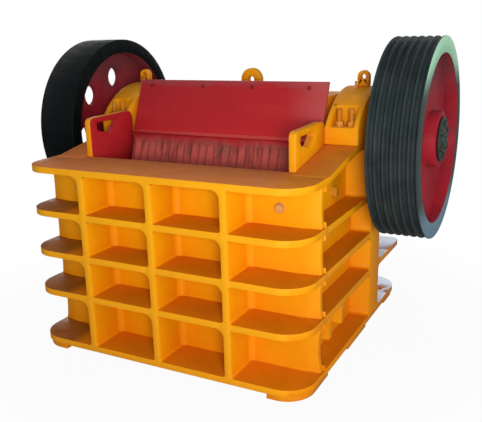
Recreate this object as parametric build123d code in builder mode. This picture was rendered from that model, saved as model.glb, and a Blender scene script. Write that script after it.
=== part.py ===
"""Single-toggle jaw crusher: ribbed box frame, swing jaw on an eccentric shaft, flywheel and belt pulley.

Millimetres. +X points to the belt pulley, +Y to the rear with the toggle, +Z up; the fixed jaw is at -Y.
The origin is at the bottom centre of the whole machine, spring rods and wheels included.
"""
import os
from math import atan2, cos, hypot, sin, tan

from build123d import *

os.makedirs("parts", exist_ok=True)

# Clearances
running_clearance = 0.05
loose_fit = 0.3
moving_gap = 6.0

# Frame: walls and ribs
wall_thickness = 40.0
front_rib_depth = 186.0
shaft_to_rear_wall = 249.0
opening_half_width = 505.0
cheek_thickness = 30.0
side_wall_thickness = 55.0
side_rib_depth = 99.0
rib_thickness = 28.0
rib_pitch = 350.0
foot_height = 26.0
pocket_heights = [215.0, 161.0, 163.0, 171.0]
corner_radius = 130.0
rear_corner_radius = 40.0
pocket_high_radius = 38.0
pocket_low_radius = 12.0
pocket_back_radius = 30.0
side_pocket_radius = 24.0
plate_tip_inset = 8.0
plate_bevel_width = 86.0
plate_bevel_depth = 14.0
plate_end_insets = [20.0, 14.0, 12.0, 12.0]

# Bearing seats on the side walls
seat_rise = 62.0
seat_half_length = 305.0
slope_start = 40.0
column_half_length = 75.0
column_head_half_length = 165.0
gusset_setbacks = [46.0, 204.0]
gusset_thickness = 32.0
gusset_drops = [95.0, 86.0]
saddle_radius = 140.0
flange_height = 78.0
cap_rise = 153.0
bolt_pocket_length = 92.0
bolt_pocket_wall = 25.0
cover_radius = 165.0
cover_thickness = 26.0
lug_radius = 28.0
lug_rise = 44.0
lug_thickness = 36.0
lug_hole_radius = 12.0
lug_from_side = 25.0

# Feet and foundation bolts
foot_width = 160.0
front_foot_length = 280.0
rear_foot_length = 240.0
middle_foot_length = 270.0
middle_foot_setback = 229.0
foot_inset = 8.0
foot_corner_radius = 122.0
foundation_hole_radius = 17.0
foundation_inset = 53.0
foundation_clear_of_wall = 30.0

# Shaft and wheels
eccentric_throw = 10.0
journal_radius = 75.0
eccentric_radius = 95.0
pulley_radius = 453.0
flywheel_radius = 463.0
wheel_width = 215.0
wheel_gap = 74.0
pulley_rim = 73.0
flywheel_rim = 72.0
web_thickness = 40.0
pulley_web_recess = 50.0
flywheel_web_recess = 92.0
hub_radius = 127.0
groove_count = 6
groove_pitch = 34.5
groove_depth = 24.0
groove_top_width = 27.0
groove_bottom_width = 15.0
web_hole_count = 7
web_hole_radius = 53.0
web_hole_turn = 4.0
hub_recess = 20.0
cap_stand_off = 5.0
cap_radius = 100.0
cap_thickness = 16.0

# Jaws
jaw_clearance = 13.0
jaw_plate_thickness = 60.0
tooth_pitch = 42.0
tooth_depth = 15.0
tooth_margin = 40.0
gape = 308.0
shaft_behind_face = 321.0
discharge_gap = 64.0
fixed_jaw_clear_of_floor = 136.0
moving_jaw_rise = 72.0
head_radius = 205.0
head_back = 95.0
jaw_rib_thickness = 40.0
jaw_front_wall = 70.0
guard_thickness = 16.0
guard_overhang = 19.0
guard_setback = 38.0
guard_rise = 81.0
guard_height = 243.0
guard_lean = 97.0
jaw_lug_radius = 56.0
jaw_lug_setback = 68.0
jaw_lug_hole_radius = 17.0
cheek_length = 330.0
left_cheek_rise = 183.0
right_cheek_rise = 168.0
cheek_depth = 456.0
cheek_foot_length = 182.0
cheek_top_fall = 6.0
cheek_front_radius = 26.0
cheek_rear_radius = 45.0
handle_hole = [(50.0, -68.0), (146.0, -92.0), (214.0, -30.0), (48.0, -30.0)]
handle_corner_radius = 12.0

# Toggle, rods and springs
heel_depth = 133.0
heel_height = 168.0
toggle_radius = 25.0
toggle_half_width = 430.0
toggle_rise = 78.0
jaw_seat_thickness = 36.0
jaw_seat_height = 90.0
block_depth = 110.0
block_height = 140.0
shim_depth = 44.0
toggle_socket_depth = 4.0
rod_radius = 16.0
rod_drop = 42.0
bracket_half_width = 30.0
bracket_length = 60.0
spring_radius = 40.0
spring_wire = 7.0
spring_pitch = 30.0
spring_turns = 6
cup_wall = 6.0
cup_length = 60.0
washer_thickness = 12.0
nut_radius = 28.0
nut_height = 30.0
rod_tail = 60.0

# Places along Y, from the front ribs to the end of the spring rods
rod_end_from_rear_plate = (
    moving_gap + eccentric_throw + spring_turns * spring_pitch + 2 * spring_wire
    + washer_thickness + nut_height + rod_tail
)
chamber_length = jaw_plate_thickness + gape + shaft_behind_face + shaft_to_rear_wall
overall_length = front_rib_depth + 2 * wall_thickness + chamber_length + rod_end_from_rear_plate
front_y = -overall_length / 2
front_plate_y = front_y + front_rib_depth
front_inner_y = front_plate_y + wall_thickness
fixed_face_y = front_inner_y + jaw_plate_thickness
rear_inner_y = front_inner_y + chamber_length
rear_plate_y = rear_inner_y + wall_thickness
rear_y = rear_plate_y + front_rib_depth
shaft_y = rear_inner_y - shaft_to_rear_wall
seat_front_y = shaft_y - seat_half_length
seat_rear_y = shaft_y + seat_half_length

# Places along Z
pocket_rows = []
rib_top_z = foot_height + rib_thickness
for pocket_height in pocket_heights:
    pocket_rows.append((rib_top_z, rib_top_z + pocket_height))
    rib_top_z += pocket_height + rib_thickness
frame_top_z = rib_top_z
top_rib_z = frame_top_z - rib_thickness
rear_shoulder_z = frame_top_z + seat_rise / 2
seat_z = frame_top_z + seat_rise
shaft_z = seat_z
eccentric_z = shaft_z - eccentric_throw
arch_top_z = seat_z + flange_height + cap_rise
fixed_jaw_low_z = foot_height + rib_thickness + fixed_jaw_clear_of_floor

# The moving jaw's face as (y, z) points, and the heel behind its lower end
face_top = (fixed_face_y + gape, frame_top_z + moving_jaw_rise)
face_bottom = (fixed_face_y + discharge_gap, fixed_jaw_low_z)
face_angle = atan2(face_top[1] - face_bottom[1], face_top[0] - face_bottom[0])
face_length = hypot(face_top[1] - face_bottom[1], face_top[0] - face_bottom[0])
heel_y = face_bottom[0] + jaw_plate_thickness * sin(face_angle) + heel_depth
heel_bottom_z = face_bottom[1] - jaw_plate_thickness * cos(face_angle)
rod_z = heel_bottom_z - rod_drop
rod_hole_radius = rod_radius + eccentric_throw + moving_gap
orbit_z = rod_z + eccentric_throw

# Places along X
side_inner_x = opening_half_width + cheek_thickness
side_outer_x = side_inner_x + side_wall_thickness
frame_half_width = side_outer_x + side_rib_depth
jaw_half_width = opening_half_width - jaw_clearance
wheel_inner_x = frame_half_width + wheel_gap
wheel_outer_x = wheel_inner_x + wheel_width
foundation_x = frame_half_width - foundation_inset
foundation_front_y = front_inner_y + foundation_clear_of_wall
foundation_rear_y = rear_plate_y
rod_x = rib_pitch / 2


def hand(name, sign):
    """The name of the left (-X) or right (+X) piece of a pair."""
    return f"{'left' if sign < 0 else 'right'}_{name}"


def save(piece, name):
    """Label a finished piece and write its file."""
    piece.label = name
    export_step(piece, f"parts/{name}.step")


# Front and rear walls: a plate with horizontal and vertical ribs around cast pockets
def ribbed_wall(sign):
    """The front (sign -1) or rear (sign 1) wall with its pockets, before its own holes."""
    rib_face_y = front_y if sign < 0 else rear_y
    plate_y = rib_face_y - sign * front_rib_depth
    inner_y = plate_y - sign * wall_thickness
    base_top_z = foot_height + rib_thickness
    upper_radius = corner_radius if sign < 0 else rear_corner_radius
    pocket_width = rib_pitch - rib_thickness
    corner_start = rib_pitch + rib_thickness / 2
    corner_end = frame_half_width + 2 * pocket_high_radius
    pocket_middles = [
        (rib_pitch / 2, pocket_width),
        ((corner_start + corner_end) / 2, corner_end - corner_start),
    ]
    rib_face = Plane(origin=(0, rib_face_y, 0), x_dir=(-sign, 0, 0), z_dir=(0, sign, 0))
    with BuildPart() as wall:
        levels = [(foot_height, base_top_z, corner_radius), (base_top_z, frame_top_z, upper_radius)]
        for low, high, radius in levels:
            with BuildSketch(Plane.XY.offset(low)) as outline:
                with Locations((0, (rib_face_y + inner_y) / 2)):
                    Rectangle(2 * frame_half_width, front_rib_depth + wall_thickness)
                fillet(outline.vertices().group_by(Axis.Y)[0 if sign < 0 else -1], radius)
            extrude(amount=high - low)
    for (low, high), end_inset in zip(pocket_rows, plate_end_insets):
        middle_z = (low + high) / 2
        pocket_y = (rib_face_y + plate_y) / 2
        with BuildPart() as pockets:
            with BuildSketch(Plane.XY.offset(low)) as plan:
                for middle, width in pocket_middles:
                    with Locations((-middle, pocket_y), (middle, pocket_y)):
                        Rectangle(width, front_rib_depth)
                back_corners = plan.vertices().group_by(Axis.Y)[-1 if sign < 0 else 0]
                inner_corners = [corner for corner in back_corners if abs(corner.X) < frame_half_width]
                fillet(inner_corners, pocket_back_radius)
            extrude(amount=high - low)
            with BuildSketch(rib_face) as opening:
                for middle, width in pocket_middles:
                    with Locations((-middle, middle_z), (middle, middle_z)):
                        Rectangle(width, high - low)
                top_left_corners = opening.vertices().group_by(Axis.Y)[-1].sort_by(Axis.X)[::2]
                fillet(top_left_corners + opening.vertices().group_by(Axis.Y)[0], pocket_low_radius)
                fillet(opening.vertices().group_by(Axis.Y)[-1].sort_by(Axis.X)[1::2], pocket_high_radius)
            extrude(amount=-front_rib_depth, mode=Mode.INTERSECT)
        with BuildPart() as ends:
            if sign < 0:
                # the plate's free ends are hollowed between the ribs
                tip_x = frame_half_width - plate_tip_inset
                with BuildSketch(Plane.XZ.offset(-plate_y)):
                    with BuildLine():
                        ThreePointArc((tip_x, low), (frame_half_width - end_inset, middle_z), (tip_x, high))
                        Line((tip_x, high), (frame_half_width, high))
                        Line((frame_half_width, high), (frame_half_width, low))
                        Line((frame_half_width, low), (tip_x, low))
                    make_face()
                    mirror(about=Plane.YZ)
                extrude(amount=-wall_thickness)
                # and their faces lean back a little
                with BuildSketch(Plane.XY.offset(low)):
                    with BuildLine():
                        Polyline(
                            (frame_half_width - plate_bevel_width, plate_y),
                            (frame_half_width, plate_y),
                            (frame_half_width, plate_y + plate_bevel_depth),
                            close=True,
                        )
                    make_face()
                    mirror(about=Plane.YZ)
                extrude(amount=high - low)
            else:
                # the side pockets run on to the rear corners
                with BuildSketch(Plane.XY.offset(low)):
                    end_x = (side_outer_x + frame_half_width) / 2
                    with Locations((-end_x, (plate_y + inner_y) / 2), (end_x, (plate_y + inner_y) / 2)):
                        Rectangle(side_rib_depth, wall_thickness)
                extrude(amount=high - low)
        with wall:
            add(pockets.part, mode=Mode.SUBTRACT)
            add(ends.part, mode=Mode.SUBTRACT)
    return wall.part


with BuildPart() as front_wall:
    add(ribbed_wall(-1))
    # the top rib runs on over the fixed jaw plate
    with BuildSketch(Plane.XY.offset(top_rib_z)):
        with Locations((0, (front_inner_y + fixed_face_y) / 2)):
            Rectangle(2 * side_inner_x, jaw_plate_thickness)
    extrude(amount=rib_thickness)
save(front_wall.part, "front_wall")

with BuildPart() as rear_wall:
    add(ribbed_wall(1))
    with BuildSketch(Plane.XY.offset(foot_height)):
        with Locations((-foundation_x, foundation_rear_y), (foundation_x, foundation_rear_y)):
            Circle(foundation_hole_radius)
    extrude(amount=rib_thickness, mode=Mode.SUBTRACT)
    with BuildSketch(Plane.XZ.offset(-rear_inner_y)):
        with Locations((-rod_x, orbit_z), (rod_x, orbit_z)):
            Circle(rod_hole_radius)
    extrude(amount=-wall_thickness, mode=Mode.SUBTRACT)
save(rear_wall.part, "rear_wall")


# Side walls: ribs that rise to the bearing seat, and a column under it
def side_wall(sign):
    """A side wall between the front and rear walls."""
    depth = side_wall_thickness + side_rib_depth
    slope_start_y = front_inner_y + slope_start
    with BuildPart() as wall:
        with BuildSketch(Plane.YZ.offset(sign * side_inner_x)):
            with BuildLine():
                Polyline(
                    (front_inner_y, foot_height),
                    (rear_inner_y, foot_height),
                    (rear_inner_y, rear_shoulder_z),
                    (seat_rear_y, seat_z) if seat_rear_y < rear_inner_y else (rear_inner_y, seat_z),
                    (seat_front_y, seat_z),
                    (slope_start_y, frame_top_z),
                    (front_inner_y, frame_top_z),
                    close=True,
                )
            make_face()
        extrude(amount=sign * depth)
        for row, (low, high) in enumerate(pocket_rows):
            top_row = row == len(pocket_rows) - 1
            half_column = column_head_half_length if top_row else column_half_length
            column_front = shaft_y - half_column
            column_rear = shaft_y + half_column
            front_top = [(column_front, high), (front_inner_y, high)]
            rear_top = [(rear_inner_y, high), (column_rear, high)]
            if top_row:
                front_top = [
                    (column_front, seat_z - rib_thickness),
                    (seat_front_y, seat_z - rib_thickness),
                    (slope_start_y, high),
                    (front_inner_y, high),
                ]
                rear_top = [(rear_inner_y, high), (column_rear, seat_z - rib_thickness)]
            with BuildSketch(Plane.YZ.offset(sign * side_outer_x)) as front_pocket:
                with BuildLine():
                    Polyline((front_inner_y, low), (column_front, low), *front_top, close=True)
                make_face()
                fillet(front_pocket.vertices(), side_pocket_radius)
            extrude(amount=sign * side_rib_depth, mode=Mode.SUBTRACT)
            with BuildSketch(Plane.YZ.offset(sign * side_outer_x)) as rear_pocket:
                with BuildLine():
                    Polyline((column_rear, low), (rear_inner_y, low), *rear_top, close=True)
                make_face()
                fillet(rear_pocket.vertices().group_by(Axis.X)[0], side_pocket_radius)
            extrude(amount=sign * side_rib_depth, mode=Mode.SUBTRACT)
        # short gussets stand under the second rib
        gusset_top_z = pocket_rows[0][1]
        for setback, drop in zip(gusset_setbacks, gusset_drops):
            with BuildSketch(Plane.YZ.offset(sign * side_outer_x)):
                with Locations((front_inner_y + setback + gusset_thickness / 2, gusset_top_z - drop / 2)):
                    Rectangle(gusset_thickness, drop)
            extrude(amount=sign * side_rib_depth)
        with BuildSketch(Plane.YZ.offset(sign * side_inner_x)):
            with Locations((shaft_y, shaft_z)):
                Circle(saddle_radius)
        extrude(amount=sign * depth, mode=Mode.SUBTRACT)
        with BuildSketch(Plane.XY.offset(foot_height)):
            with Locations((sign * foundation_x, foundation_front_y)):
                Circle(foundation_hole_radius)
        extrude(amount=rib_thickness, mode=Mode.SUBTRACT)
    return wall.part


for sign in (-1, 1):
    save(side_wall(sign), hand("side_wall", sign))

# Foot pads under the corners and the columns
with BuildPart() as foot_pads:
    foot_x = frame_half_width - foot_inset - foot_width / 2
    middle_foot_y = shaft_y - middle_foot_setback
    with BuildSketch(Plane.XY) as corner_feet:
        with Locations(*((sign * foot_x, front_y + foot_inset + front_foot_length / 2) for sign in (-1, 1))):
            Rectangle(foot_width, front_foot_length)
        with Locations(*((sign * foot_x, rear_y - foot_inset - rear_foot_length / 2) for sign in (-1, 1))):
            Rectangle(foot_width, rear_foot_length)
        for row in (0, -1):
            end_corners = corner_feet.vertices().group_by(Axis.Y)[row].sort_by(Axis.X)
            fillet([end_corners[0], end_corners[-1]], foot_corner_radius)
        for hole_y in (foundation_front_y, foundation_rear_y):
            with Locations((-foundation_x, hole_y), (foundation_x, hole_y)):
                Circle(foundation_hole_radius, mode=Mode.SUBTRACT)
    extrude(amount=foot_height)
    with BuildSketch(Plane.XY):
        with Locations((-foot_x, middle_foot_y), (foot_x, middle_foot_y)):
            Rectangle(foot_width, middle_foot_length)
    extrude(amount=foot_height)
save(foot_pads.part, "foot_pads")


# Jaw plates with upright teeth
def jaw_plate(plane, length):
    """A jaw plate on its back, with teeth along it that stop short of its upper end."""
    body = jaw_plate_thickness - tooth_depth
    with BuildPart() as plate:
        with BuildSketch(plane):
            with Locations((0, -body / 2)):
                Rectangle(2 * jaw_half_width, body)
        extrude(amount=length)
        with BuildSketch(plane) as teeth:
            with BuildLine():
                Polyline(
                    (-tooth_pitch * 0.4, -body),
                    (-tooth_pitch * 0.12, -jaw_plate_thickness),
                    (tooth_pitch * 0.12, -jaw_plate_thickness),
                    (tooth_pitch * 0.4, -body),
                    close=True,
                )
            tooth = make_face(mode=Mode.PRIVATE)
            with GridLocations(tooth_pitch, 1, int(2 * jaw_half_width // tooth_pitch), 1):
                add(tooth)
        extrude(amount=length - tooth_margin)
    return plate.part


jaw_back = Plane(origin=(0, front_inner_y, fixed_jaw_low_z), x_dir=(-1, 0, 0), z_dir=(0, 0, 1))
save(jaw_plate(jaw_back, top_rib_z - fixed_jaw_low_z), "fixed_jaw_plate")

# Cheek plates that line the chamber and stand above it, with a handle hole
cheek_front_y = fixed_face_y + loose_fit
cheek_rear_y = cheek_front_y + cheek_length
for sign, cheek_rise in ((-1, left_cheek_rise), (1, right_cheek_rise)):
    cheek_top_z = frame_top_z + cheek_rise
    with BuildPart() as cheek_plate:
        with BuildSketch(Plane.YZ.offset(sign * opening_half_width)) as cheek:
            with BuildLine():
                Polyline(
                    (cheek_front_y, frame_top_z - cheek_depth),
                    (cheek_front_y + cheek_foot_length, frame_top_z - cheek_depth),
                    (cheek_rear_y, frame_top_z),
                    (cheek_rear_y, cheek_top_z),
                    (cheek_front_y, cheek_top_z - cheek_top_fall),
                    close=True,
                )
            make_face()
            fillet(cheek.vertices().sort_by(Axis.Y)[-1], cheek_rear_radius)
            fillet(cheek.vertices().group_by(Axis.X)[0].sort_by(Axis.Y)[-1], cheek_front_radius)
        extrude(amount=sign * cheek_thickness)
        with BuildSketch(Plane.YZ.offset(sign * opening_half_width)) as handle:
            with BuildLine():
                Polyline(*((cheek_front_y + y, cheek_top_z + z) for y, z in handle_hole), close=True)
            make_face()
            fillet(handle.vertices(), handle_corner_radius)
        extrude(amount=sign * cheek_thickness, mode=Mode.SUBTRACT)
    save(cheek_plate.part, hand("cheek_plate", sign))

# Bearing housings: a flange on the seat, an arched cap above and a round boss in the saddle
housing_width = frame_half_width - side_inner_x
for sign in (-1, 1):
    with BuildPart() as housing:
        with BuildSketch(Plane.YZ.offset(sign * side_inner_x)):
            with Locations((shaft_y, seat_z + flange_height / 2)):
                Rectangle(2 * seat_half_length, flange_height)
            with BuildLine():
                ThreePointArc(
                    (seat_front_y, seat_z + flange_height),
                    (shaft_y, arch_top_z),
                    (seat_rear_y, seat_z + flange_height),
                )
                Line((seat_front_y, seat_z + flange_height), (seat_rear_y, seat_z + flange_height))
            make_face()
            with Locations((shaft_y, shaft_z)):
                Circle(saddle_radius - loose_fit)
                Circle(journal_radius + running_clearance, mode=Mode.SUBTRACT)
        extrude(amount=sign * housing_width)
        # pockets at both ends leave room for the hold-down bolts
        with BuildSketch(Plane.XY.offset(seat_z + flange_height)):
            pocket_x = sign * (side_inner_x + frame_half_width) / 2
            pocket_length = 2 * bolt_pocket_length
            with Locations((pocket_x, seat_front_y), (pocket_x, seat_rear_y)):
                Rectangle(housing_width - 2 * bolt_pocket_wall, pocket_length)
        extrude(amount=cap_rise, mode=Mode.SUBTRACT)
    save(housing.part, hand("bearing_housing", sign))

    with BuildPart() as cover:
        with BuildSketch(Plane.YZ.offset(sign * frame_half_width)):
            with Locations((shaft_y, shaft_z)):
                Circle(cover_radius)
                Circle(journal_radius + loose_fit, mode=Mode.SUBTRACT)
        extrude(amount=sign * cover_thickness)
    save(cover.part, hand("bearing_cover", sign))

    lug_x = sign * (side_outer_x + lug_from_side)
    with BuildPart() as lug:
        with BuildSketch(Plane.XZ.offset(-shaft_y - lug_thickness / 2)):
            with Locations((lug_x, arch_top_z + lug_rise / 2)):
                Rectangle(2 * lug_radius, lug_rise)
            with Locations((lug_x, arch_top_z + lug_rise)):
                Circle(lug_radius)
                Circle(lug_hole_radius, mode=Mode.SUBTRACT)
        extrude(amount=lug_thickness)
    save(lug.part, hand("lifting_lug", sign))

# Eccentric shaft
cap_inner_x = wheel_outer_x + cap_stand_off
eccentric_half_length = jaw_half_width - 20
with BuildPart() as eccentric_shaft:
    with BuildSketch(Plane.YZ.offset(-cap_inner_x)):
        with Locations((shaft_y, shaft_z)):
            Circle(journal_radius)
    extrude(amount=2 * cap_inner_x)
    with BuildSketch(Plane.YZ.offset(-eccentric_half_length)):
        with Locations((shaft_y, eccentric_z)):
            Circle(eccentric_radius)
    extrude(amount=2 * eccentric_half_length)
save(eccentric_shaft.part, "eccentric_shaft")


# Wheels, turned about the shaft from a half section
def wheel(name, sign, wheel_radius, rim, web_from_outside, grooves, holes):
    """A flywheel or belt pulley; its outer side is at wheel_outer_x."""
    inner_radius = wheel_radius - rim
    web_high = wheel_width - web_from_outside
    web_low = web_high - web_thickness
    with BuildPart() as turned:
        with BuildSketch(Plane.XZ):
            with BuildLine():
                rim_points = [(wheel_radius, 0)]
                for index in range(grooves):
                    centre = wheel_width / 2 + (index - (grooves - 1) / 2) * groove_pitch
                    rim_points += [
                        (wheel_radius, centre - groove_top_width / 2),
                        (wheel_radius - groove_depth, centre - groove_bottom_width / 2),
                        (wheel_radius - groove_depth, centre + groove_bottom_width / 2),
                        (wheel_radius, centre + groove_top_width / 2),
                    ]
                Polyline(
                    (journal_radius, hub_recess),
                    (hub_radius, hub_recess),
                    (hub_radius, web_low),
                    (inner_radius, web_low),
                    (inner_radius, 0),
                    *rim_points,
                    (wheel_radius, wheel_width),
                    (inner_radius, wheel_width),
                    (inner_radius, web_high),
                    (hub_radius, web_high),
                    (hub_radius, wheel_width),
                    (journal_radius, wheel_width),
                    close=True,
                )
            make_face()
        revolve(axis=Axis.Z)
        if holes:
            with BuildSketch(Plane.XY.offset(web_low)):
                with PolarLocations((hub_radius + inner_radius) / 2, holes, start_angle=web_hole_turn):
                    Circle(web_hole_radius)
            extrude(amount=web_thickness, mode=Mode.SUBTRACT)
    place = Plane(origin=(sign * wheel_inner_x, shaft_y, shaft_z), x_dir=(0, 0, 1), z_dir=(sign, 0, 0))
    save(place * turned.part, name)


wheel("belt_pulley", 1, pulley_radius, pulley_rim, pulley_web_recess, groove_count, 0)
wheel("flywheel", -1, flywheel_radius, flywheel_rim, flywheel_web_recess, 0, web_hole_count)

for sign in (-1, 1):
    with BuildPart() as cap:
        with BuildSketch(Plane.YZ.offset(sign * cap_inner_x)):
            with Locations((shaft_y, shaft_z)):
                Circle(cap_radius)
        extrude(amount=sign * cap_thickness)
    save(cap.part, hand("shaft_cap", sign))

# Swing jaw, hung on the eccentric; its front lies along the moving jaw plate's back
def along_face(z):
    """The point of the moving jaw's face at height z."""
    return (face_bottom[0] + (z - face_bottom[1]) / tan(face_angle), z)


def behind(point, depth):
    """The point that lies this far behind the moving jaw's face."""
    return (point[0] + depth * sin(face_angle), point[1] - depth * cos(face_angle))


plate_top = behind(face_top, jaw_plate_thickness)
plate_bottom = behind(face_bottom, jaw_plate_thickness)
guard_low = (face_top[0] + guard_setback, frame_top_z + guard_rise)
guard_high = (guard_low[0] + guard_lean, guard_low[1] + guard_height)
guard_angle = atan2(guard_height, guard_lean)
head_top_z = eccentric_z + head_radius


def guard_back(z):
    """The point of the guard plate's back at height z, where the jaw's head lies against it."""
    low_y = guard_low[0] + guard_thickness * sin(guard_angle)
    low_z = guard_low[1] - guard_thickness * cos(guard_angle)
    return (low_y + (z - low_z) / tan(guard_angle), z)


with BuildPart() as swing_jaw:
    with BuildSketch(Plane.YZ.offset(-jaw_half_width)):
        with BuildLine():
            Polyline(
                plate_bottom,
                (heel_y, heel_bottom_z),
                (heel_y, heel_bottom_z + heel_height),
                (shaft_y + head_back, eccentric_z - head_radius * 0.9),
                (shaft_y + head_back, head_top_z),
                guard_back(head_top_z),
                guard_back(guard_low[1]),
                plate_top,
                close=True,
            )
        make_face()
        with Locations((shaft_y, eccentric_z)):
            Circle(head_radius)
            Circle(eccentric_radius + running_clearance, mode=Mode.SUBTRACT)
    extrude(amount=2 * jaw_half_width)
    # the back is hollowed between upright ribs
    hollow_low_z = heel_bottom_z + heel_height
    hollow_high_z = eccentric_z - head_radius - jaw_rib_thickness
    hollow_low_y = behind(along_face(hollow_low_z), jaw_plate_thickness + jaw_front_wall)[0]
    hollow_high_y = behind(along_face(hollow_high_z), jaw_plate_thickness + jaw_front_wall)[0]
    hollow_width = (2 * jaw_half_width - 4 * jaw_rib_thickness) / 3
    for column in (-1, 0, 1):
        hollow_x = column * (hollow_width + jaw_rib_thickness) - hollow_width / 2
        with BuildSketch(Plane.YZ.offset(hollow_x)):
            with BuildLine():
                Polyline(
                    (hollow_low_y, hollow_low_z),
                    (shaft_y + head_back, hollow_low_z),
                    (shaft_y + head_back, hollow_high_z),
                    (hollow_high_y, hollow_high_z),
                    close=True,
                )
            make_face()
        extrude(amount=hollow_width, mode=Mode.SUBTRACT)
save(swing_jaw.part, "swing_jaw")

up_the_face = Plane(origin=(0, *plate_bottom), x_dir=(1, 0, 0), z_dir=(0, cos(face_angle), sin(face_angle)))
save(jaw_plate(up_the_face, face_length), "moving_jaw_plate")

# Guard plate, with the wedge that holds the moving jaw plate down
guard_foot = guard_back(guard_low[1])
guard_head = guard_back(guard_high[1])
with BuildPart() as guard_plate:
    with BuildSketch(Plane.YZ.offset(-jaw_half_width - guard_overhang)):
        with BuildLine():
            Polyline(guard_low, guard_foot, guard_head, guard_high, close=True)
        make_face()
    extrude(amount=2 * (jaw_half_width + guard_overhang))
    with BuildSketch(Plane.YZ.offset(-jaw_half_width)):
        with BuildLine():
            Polyline(guard_low, face_top, plate_top, guard_foot, close=True)
        make_face()
    extrude(amount=2 * jaw_half_width)
save(guard_plate.part, "guard_plate")

jaw_lug_y = shaft_y + jaw_lug_setback
with BuildPart() as jaw_lug:
    with BuildSketch(Plane.XZ.offset(-jaw_lug_y - lug_thickness / 2)):
        with Locations((0, head_top_z + jaw_lug_radius / 2)):
            Rectangle(2 * jaw_lug_radius, jaw_lug_radius)
        with Locations((0, head_top_z + jaw_lug_radius)):
            Circle(jaw_lug_radius)
            Circle(jaw_lug_hole_radius, mode=Mode.SUBTRACT)
    extrude(amount=lug_thickness)
save(jaw_lug.part, "jaw_lifting_lug")

# Toggle plate between the jaw's seat and the block that the shims set
toggle_z = heel_bottom_z + toggle_rise
toggle_front_y = heel_y + jaw_seat_thickness + eccentric_throw + moving_gap + toggle_radius
block_front_y = rear_inner_y - shim_depth - block_depth
toggle_rear_y = block_front_y - toggle_socket_depth

with BuildPart() as jaw_toggle_seat:
    with Locations((0, heel_y + jaw_seat_thickness / 2, toggle_z)):
        Box(2 * toggle_half_width, jaw_seat_thickness, jaw_seat_height)
save(jaw_toggle_seat.part, "jaw_toggle_seat")

with BuildPart() as toggle_plate:
    with BuildSketch(Plane.YZ.offset(-toggle_half_width)):
        with Locations(((toggle_front_y + toggle_rear_y) / 2, toggle_z)):
            SlotCenterToCenter(toggle_rear_y - toggle_front_y, 2 * toggle_radius)
    extrude(amount=2 * toggle_half_width)
save(toggle_plate.part, "toggle_plate")

with BuildPart() as toggle_block:
    with BuildSketch(Plane.YZ.offset(-side_inner_x)):
        with Locations((block_front_y + block_depth / 2, toggle_z)):
            Rectangle(block_depth, block_height)
        with Locations((toggle_rear_y, toggle_z)):
            Circle(toggle_radius + running_clearance, mode=Mode.SUBTRACT)
    extrude(amount=2 * side_inner_x)
save(toggle_block.part, "toggle_block")

with BuildPart() as shims:
    with Locations((0, rear_inner_y - shim_depth / 2, toggle_z)):
        Box(2 * toggle_half_width, shim_depth, block_height)
save(shims.part, "shims")

# Tension rods from the jaw's heel through the rear wall, with their spring cups, washers and nuts
rod_places = [(-rod_x, rod_z), (rod_x, rod_z)]
cup_places = [(-rod_x, orbit_z), (rod_x, orbit_z)]
spring_start_y = rear_plate_y + eccentric_throw + moving_gap
spring_end_y = spring_start_y + spring_turns * spring_pitch + 2 * spring_wire
rod_end_y = front_y + overall_length
cup_inner_radius = spring_radius + spring_wire + eccentric_throw + moving_gap

with BuildPart() as rod_brackets:
    for x, z in rod_places:
        with Locations((x, heel_y - bracket_length / 2, (z - bracket_half_width + heel_bottom_z) / 2)):
            Box(2 * bracket_half_width, bracket_length, heel_bottom_z - z + bracket_half_width)
    with BuildSketch(Plane.XZ.offset(-heel_y)):
        with Locations(*rod_places):
            Circle(rod_radius + loose_fit)
    extrude(amount=bracket_length, mode=Mode.SUBTRACT)
save(rod_brackets.part, "rod_brackets")

with BuildPart() as tension_rods:
    with BuildSketch(Plane.XZ.offset(-rod_end_y)):
        with Locations(*rod_places):
            Circle(rod_radius)
    extrude(amount=rod_end_y - heel_y + bracket_length)
save(tension_rods.part, "tension_rods")

with BuildPart() as spring_cups:
    with BuildSketch(Plane.XZ.offset(-rear_plate_y)):
        with Locations(*cup_places):
            Circle(cup_inner_radius + cup_wall)
            Circle(cup_inner_radius, mode=Mode.SUBTRACT)
    extrude(amount=-cup_length)
save(spring_cups.part, "spring_cups")

with BuildPart() as rod_nuts:
    with BuildSketch(Plane.XZ.offset(-spring_end_y)):
        with Locations(*rod_places):
            Circle(spring_radius + 2 * spring_wire)
            Circle(rod_radius + loose_fit, mode=Mode.SUBTRACT)
    extrude(amount=-washer_thickness)
    with BuildSketch(Plane.XZ.offset(-spring_end_y - washer_thickness)):
        with Locations(*rod_places):
            RegularPolygon(nut_radius, 6)
            Circle(rod_radius + loose_fit, mode=Mode.SUBTRACT)
    extrude(amount=-nut_height)
save(rod_nuts.part, "rod_nuts")
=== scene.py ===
"""Looks of the jaw crusher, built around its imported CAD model."""
import math

import bmesh
import bpy
from mathutils import Matrix, Vector


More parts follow.
